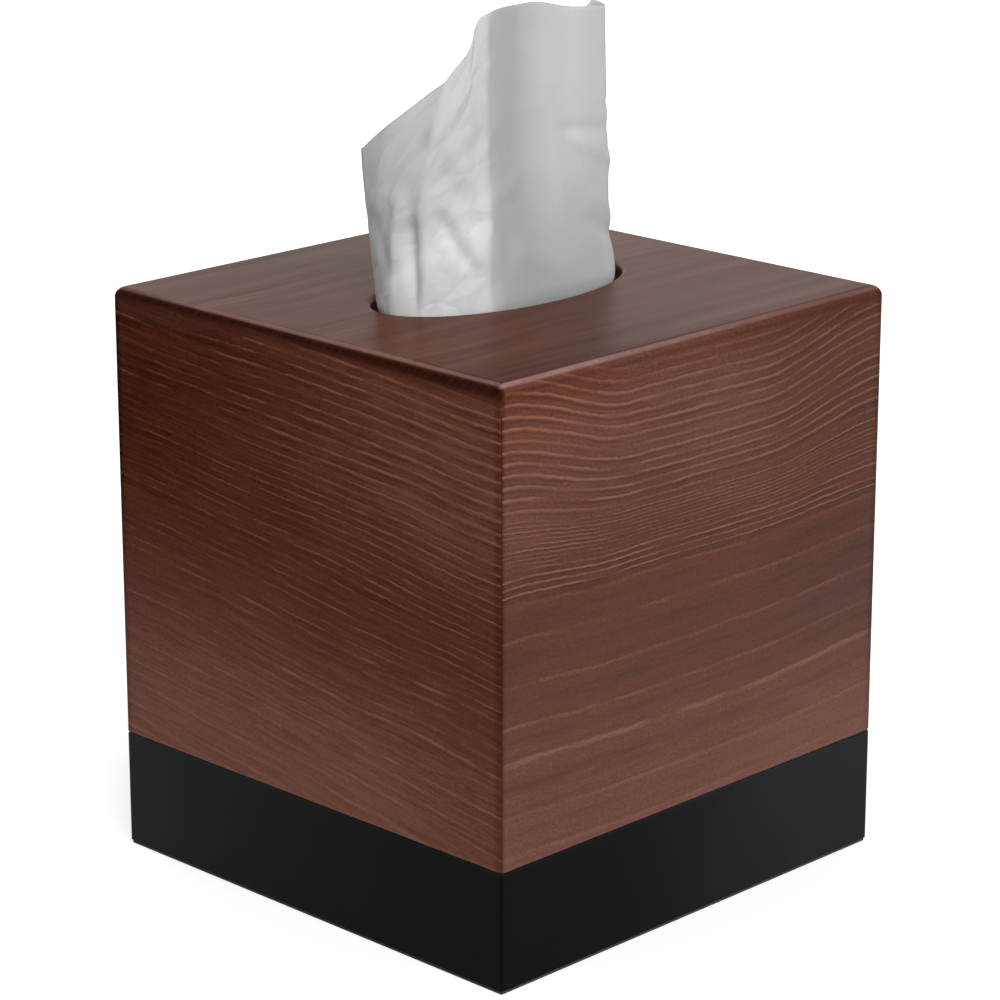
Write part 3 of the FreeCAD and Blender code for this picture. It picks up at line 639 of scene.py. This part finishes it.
def pressed(across, height):
    """How far the sheet stands out of its smooth plan."""
    stand = np.zeros_like(across)
    rng = np.random.default_rng(12)
    folds = list(PRESSED_FOLDS)
    for _ in range(CRUMPLES):
        start = rng.uniform(*CRUMPLE_FIELD)
        end = start + rng.normal(0, (9, 12))
        spread = next(rise for limit, rise in CRUMPLE_SPREAD if start[0] < limit)
        folds.append((*start, *end, rng.normal(0, spread), rng.uniform(2, 6)))
    for x0, z0, x1, z1, rise, width in folds:
        run = np.array((x1 - x0, z1 - z0))
        length = np.hypot(*run)
        run = run / length
        ahead = (across - x0) * run[0] + (height - z0) * run[1]
        aside = np.abs((across - x0) * -run[1] + (height - z0) * run[0])
        beyond = np.maximum(0, np.maximum(-ahead, ahead - length))
        stand += rise * np.clip(1 - np.hypot(aside, beyond * 0.6) / width, 0, None)
    for _ in range(WAVES):
        pace = rng.normal(0, (0.11, 0.05))
        turn = rng.uniform(0, 2 * math.pi)
        stand += WAVE_RISE * np.sin(across * pace[0] + height * pace[1] + turn)
    return stand


def sheet_top(across, place):
    """How high the sheet reaches at each place along it."""
    sideways = (place[:, 0] - place[:, 1]) / math.sqrt(2)
    front = np.interp(sideways, *zip(*TOP_EDGE)) + 0.2 * np.sin(across * 0.35)
    behind = np.clip((across - BEHIND_FROM) / BEHIND_OVER, 0, 1)
    return front - behind * (BEHIND_LOWER + 2.0 * np.sin(across * 0.09))


def new_object(name):
    """Names the object that an operator has just added."""
    made = bpy.context.active_object
    made.name = name
    made.data.name = name
    return made


def start_piece():
    """Leaves nothing selected, so that the next operators act on the new piece alone."""
    if bpy.context.mode != "OBJECT":
        bpy.ops.object.mode_set(mode="OBJECT")
    bpy.ops.object.select_all(action="DESELECT")


def thicken_sheet(sheet, thickness):
    """Gives the active sheet this thickness in millimetres, half of it on each side."""
    thicken = sheet.modifiers.new("plies", "SOLIDIFY")
    thicken.thickness = thickness * MM
    thicken.offset = 0
    bpy.ops.object.modifier_apply(modifier=thicken.name)


def pop_up_tissue():
    start_piece()
    bpy.ops.mesh.primitive_grid_add(x_subdivisions=SHEET_COLUMNS, y_subdivisions=SHEET_ROWS,
                                    size=SHEET_FLAT[0], calc_uvs=True)
    tissue = new_object("pop_up_tissue_sheet")
    mesh = tissue.data
    laid = np.zeros(len(mesh.vertices) * 3)
    mesh.vertices.foreach_get("co", laid)
    laid = laid.reshape(-1, 3) / SHEET_FLAT[0] + 0.5
    columns = np.linspace(0, 1, SHEET_COLUMNS + 1)
    column = np.rint(laid[:, 0] * SHEET_COLUMNS).astype(int)

    heights = np.linspace(PLAN_FOOT, PLAN_HEAD, PLAN_STEPS)
    plans = plan_at(heights)
    rim = plans[np.searchsorted(heights, MEASURED_AT)]
    places = np.concatenate([[0], np.cumsum(np.hypot(*np.diff(rim, axis=0).T))])
    across = columns * places[-1]
    drawn = np.array([smooth_through(plan, places, across) for plan in plans])
    ahead = np.gradient(drawn, axis=1)
    outward = np.stack([ahead[..., 1], -ahead[..., 0]], axis=-1)
    outward /= np.linalg.norm(outward, axis=-1, keepdims=True)
    free = np.clip((heights - TOP) / FOLDS_GROW, 0, 1)[:, None]
    stand = pressed(*np.meshgrid(across, heights)) * free
    drawn = drawn + outward * stand[..., None]
    # The sheet keeps clear of the slot's edge and may spread a little above it.
    reach = np.hypot(drawn[..., 0] / HALF_SLOT[0], drawn[..., 1] / HALF_SLOT[1])
    room = np.interp(heights, ROOM_HEIGHTS, ROOM_SHARES)[:, None]
    drawn *= np.minimum(1, room / reach)[..., None]

    tops = sheet_top(across, drawn[np.searchsorted(heights, EDGE_READ_AT)])
    level = heights[0] + laid[:, 1] * (tops[column] - heights[0])
    shaped = np.zeros_like(laid)
    for i in range(SHEET_COLUMNS + 1):
        chosen = column == i
        for axis in (0, 1):
            shaped[chosen, axis] = np.interp(level[chosen], heights, drawn[:, i, axis])
    shaped[:, 2] = level
    mesh.vertices.foreach_set("co", (shaped * MM).ravel())
    mesh.update()
    thicken_sheet(tissue, PLIES)
    bpy.ops.object.shade_smooth()
    paper = tissue_paper("creped_tissue", SHEET_FLAT[0] * PER_METRE)
    tissue.data.materials.append(paper.material)
    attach(tissue, "tissue")
    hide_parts("pop_up_tissue")


# The folded tissues left in the carton

LEAF_PITCH = 2.29
LEAF_COUNT = 24
LEAF_PLY = 0.85
LEAF_MARGIN = 1.2
LEAF_CELLS = 10
# The upper half of a leaf is drawn out by this share of half its width for each cell.
LEAF_STEP = 0.197
LEAF_SHIFT = 0.6
LEAF_BOW = (0.02, 0.10)


def folded_tissue(name):
    """One tissue folded in half, with a round fold along one side."""
    start_piece()
    half = (STACK_WIDTH / 2 - LEAF_MARGIN) * MM
    bpy.ops.mesh.primitive_grid_add(x_subdivisions=LEAF_CELLS, y_subdivisions=LEAF_CELLS,
                                    size=2 * half)
    leaf = new_object(name)
    bpy.ops.object.mode_set(mode="EDIT")
    bpy.ops.mesh.select_all(action="DESELECT")
    bpy.ops.object.mode_set(mode="OBJECT")
    for edge in leaf.data.edges:
        edge.select = all(leaf.data.vertices[i].co.x > half * 0.999 for i in edge.vertices)
    bpy.ops.object.mode_set(mode="EDIT")
    bpy.ops.mesh.select_mode(type="EDGE")
    fold = (LEAF_PITCH - LEAF_PLY) / 2 * MM
    bpy.ops.mesh.spin(steps=6, angle=math.pi, center=(half, 0, fold), axis=(0, -1, 0))
    for _ in range(LEAF_CELLS):
        bpy.ops.mesh.extrude_region_move(
            TRANSFORM_OT_translate={"value": (-LEAF_STEP * half, 0, 0)})
    bpy.ops.object.mode_set(mode="OBJECT")
    return leaf


def tissue_pack():
    """The stack: folded tissues laid with their folds to the left and right in turn."""
    rng = np.random.default_rng(5)
    first = folded_tissue("tissue_pack")
    leaves = [first]
    for _ in range(1, LEAF_COUNT):
        leaf = first.copy()
        leaf.data = first.data.copy()
        bpy.context.scene.collection.objects.link(leaf)
        leaves.append(leaf)
    for i, leaf in enumerate(leaves):
        turned = -1 if i % 2 else 1
        shift = rng.uniform(-LEAF_SHIFT, LEAF_SHIFT, 2)
        foot = STACK_FOOT + LEAF_PLY / 2 + i * LEAF_PITCH
        bow, wave = rng.uniform(*LEAF_BOW), rng.uniform(0, 2 * math.pi)
        for vertex in leaf.data.vertices:
            x, y, z = vertex.co / MM
            lift = bow * math.sin(x * 0.09 + wave) * math.sin(y * 0.07 + 2 * wave)
            vertex.co = Vector((turned * x + shift[0], turned * y + shift[1], z + foot + lift)) * MM
    start_piece()
    for leaf in leaves:
        leaf.select_set(True)
    bpy.context.view_layer.objects.active = first
    bpy.ops.object.join()
    thicken_sheet(first, LEAF_PLY)
    bpy.ops.object.shade_smooth_by_angle(angle=math.radians(40))
    first.data.materials.append(tissue_paper("folded_tissue_paper", None).material)
    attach(first, "base")
    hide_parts("tissue_stack")


# Floor, light and camera

BACKDROP_RAYS = ("Is Camera Ray", "Is Glossy Ray", "Is Transmission Ray")
# In metres.
FLOOR_SIZE = 8
LAMPS_LOOK_AT = Vector((0, 0, 0.09))
CAMERA_LOOKS_AT = Vector((0, 0, 0.0912))
CAMERA_DISTANCE = 0.9017
# In degrees, as direction() takes them.
CAMERA_PLACE = (-45.43, 16.92)


def backdrop_rays(finish):
    """1 for rays that see the floor or the backdrop as a picture, 0 for those it only lights."""
    seen = 0.0
    for name in BACKDROP_RAYS:
        seen = finish.sum_of("MAXIMUM", finish.node("LightPath", {}, name), seen)
    return seen


def studio_floor():
    start_piece()
    bpy.ops.mesh.primitive_plane_add(size=FLOOR_SIZE)
    floor = new_object("studio_floor")
    finish = Finish("pale_floor")
    finish.tree.nodes.remove(finish.surface)
    x, y, _ = finish.place()
    # The floor runs out to plain white away from the object's shadow.
    away = finish.sum_of("SQRT", x * x + y * y).between(70, 190, 0.56, 0.90)
    matt = finish.node("BsdfDiffuse", {"Color": (0.80, 0.80, 0.80, 1)})
    glow = finish.node("Emission", {"Strength": backdrop_rays(finish) * away})
    both = finish.node("AddShader", {0: matt, 1: glow})
    output = finish.tree.nodes["Material Output"]
    finish.tree.links.new(both.socket, output.inputs["Surface"])
    floor.data.materials.append(finish.material)


class Surroundings(Finish):
    """The world's own nodes."""

    def __init__(self, world):
        world.use_nodes = True
        self.tree = world.node_tree


def studio_world():
    world = bpy.data.worlds.new("studio")
    bpy.context.scene.world = world
    room = Surroundings(world)
    strength = backdrop_rays(room).between(0, 1, 0.25, 1.0, soft=False)
    background = room.tree.nodes["Background"]
    background.inputs["Color"].default_value = (1, 1, 1, 1)
    room.feed(background.inputs["Strength"], strength)


def softbox(name, azimuth, elevation, distance, width, height, power):
    """A soft lamp that looks at the middle of the box."""
    lamp = bpy.data.lights.new(name, "AREA")
    lamp.shape = "RECTANGLE"
    lamp.size, lamp.size_y = width, height
    lamp.energy = power
    holder = bpy.data.objects.new(name, lamp)
    bpy.context.scene.collection.objects.link(holder)
    back = direction(azimuth, elevation)
    holder.location = LAMPS_LOOK_AT + back * distance
    holder.rotation_euler = back.to_track_quat("Z", "Y").to_euler()


def direction(azimuth, elevation):
    """Towards the viewer: azimuth 0 looks at the front wall, and a positive one from the right."""
    a, e = math.radians(azimuth), math.radians(elevation)
    return Vector((math.sin(a) * math.cos(e), -math.cos(a) * math.cos(e), math.sin(e)))


def photo_camera():
    lens = bpy.data.cameras.new("photo_camera")
    lens.lens = 130.68
    lens.sensor_width = 36
    lens.shift_x = 0.0014
    camera = bpy.data.objects.new("photo_camera", lens)
    bpy.context.scene.collection.objects.link(camera)
    back = direction(*CAMERA_PLACE)
    camera.location = CAMERA_LOOKS_AT + back * CAMERA_DISTANCE
    camera.rotation_euler = (-back).to_track_quat("-Z", "Y").to_euler()
    bpy.context.scene.camera = camera


# Boards are read from the left as seen from outside, down from the top and inwards from the face.
BOARDS = {
    "front_wall": (FRONT_LOOK, lambda x, y, z: (x, TOP - z, y.size())),
    "right_wall": (RIGHT_LOOK, lambda x, y, z: (y, TOP - z, x.size())),
    "back_wall": (BACK_LOOK, lambda x, y, z: (0 - x, TOP - z, y.size())),
    "left_wall": (LEFT_LOOK, lambda x, y, z: (0 - y, TOP - z, x.size())),
}
for board, (board_look, read_along) in BOARDS.items():
    dress(board, stained_wood(f"stained_{board}", read_along, board_look))
dress("top_panel", stained_top("stained_top_panel"))
paint = black_paint()
for side in ("front", "right", "back", "left"):
    dress(f"base_{side}_rail", paint)
    dress(f"locating_lip_{side}", paint)
bare_wood = key_wood()
dress("base_corner_keys", bare_wood)
dress("corner_keys", bare_wood)
dress("base_floor", floor_board())
dress("floor_brads", brad_steel())
dress("felt_underlay", felt())
dress("tissue_carton", carton_board())
dress("carton_film", clear_film())
pop_up_tissue()
tissue_pack()

studio_floor()
studio_world()
softbox("key_light", azimuth=-28, elevation=36, distance=1.6, width=0.9, height=0.8, power=16.6)
softbox("back_light", azimuth=165, elevation=32, distance=1.6, width=1.0, height=0.8, power=5)
photo_camera()
bpy.context.scene.view_settings.view_transform = "Standard"
